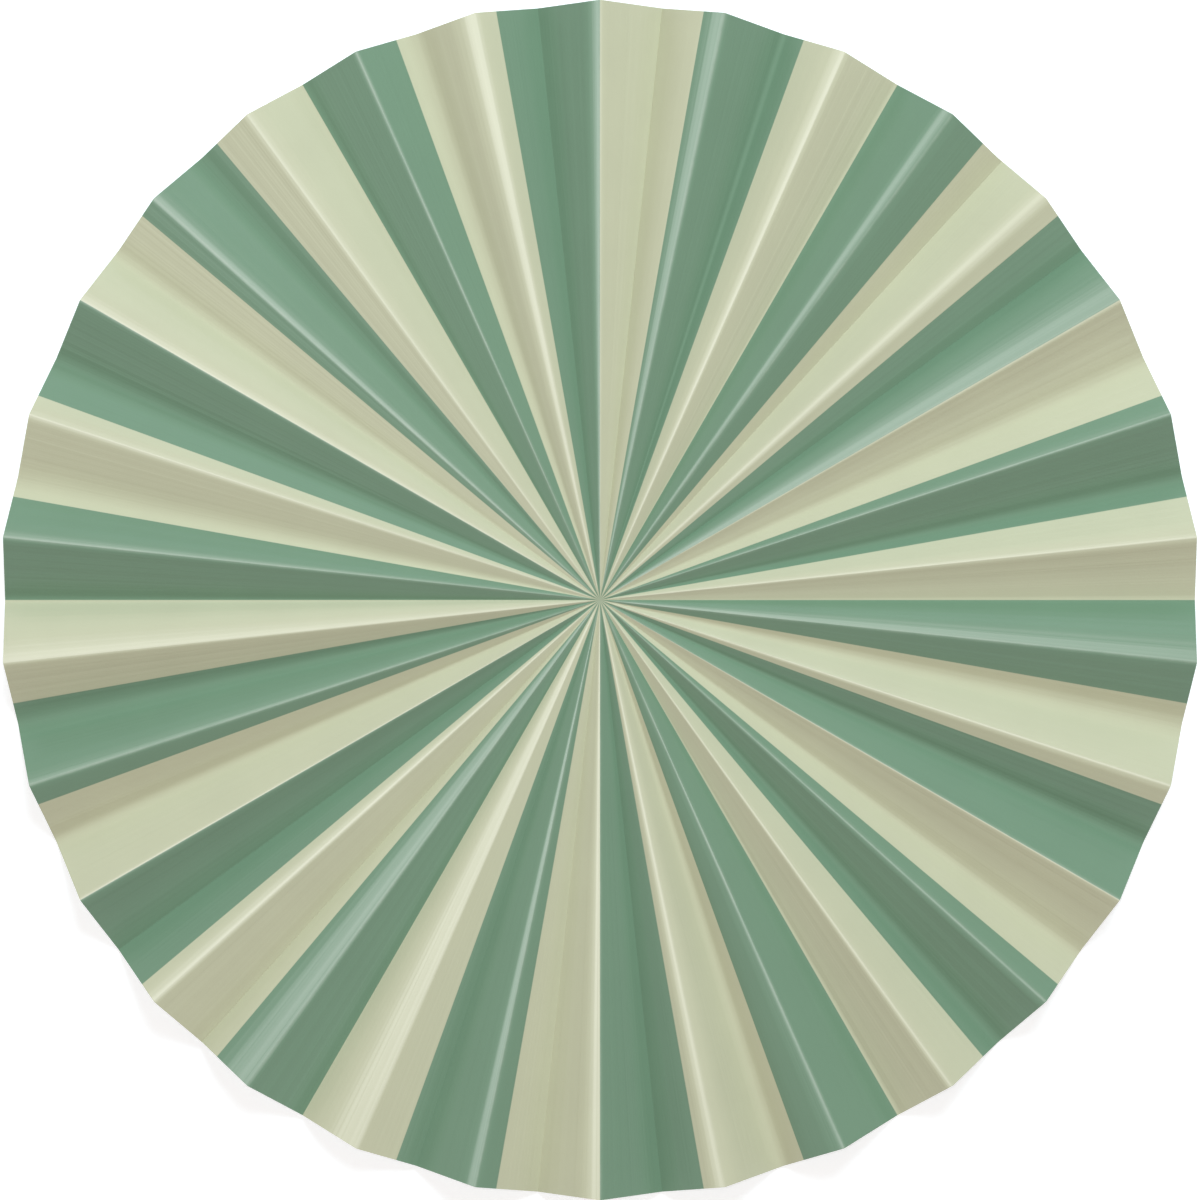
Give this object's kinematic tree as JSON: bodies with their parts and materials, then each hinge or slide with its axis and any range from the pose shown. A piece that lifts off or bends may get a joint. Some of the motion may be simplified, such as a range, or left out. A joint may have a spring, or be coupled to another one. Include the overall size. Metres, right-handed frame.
{
  "type": "paper fan medallion",
  "caption": "Round paper fan medallion: one printed sheet in radial pleats whose straight folds all meet at the centre, made to lie flat or be stuck to a wall or a gift by its back.",
  "frame": {"origin": "centre of the back, where the folds meet, on the plane that the valley folds lie in", "axes": "+Z out of the printed front, +Y along a ridge fold to the top of the fan, +X to the right as seen from the front"},
  "size_m": [0.3, 0.2996, 0.0089],
  "materials": {
    "printed_paper": "satin print in radial stripes of cream and sage green on the front, plain cream back and cut edge; the one colour given here is their average"
  },
  "bodies": {
    "root": {"pleated_sheet": "printed_paper"}
  },
  "joints": []
}
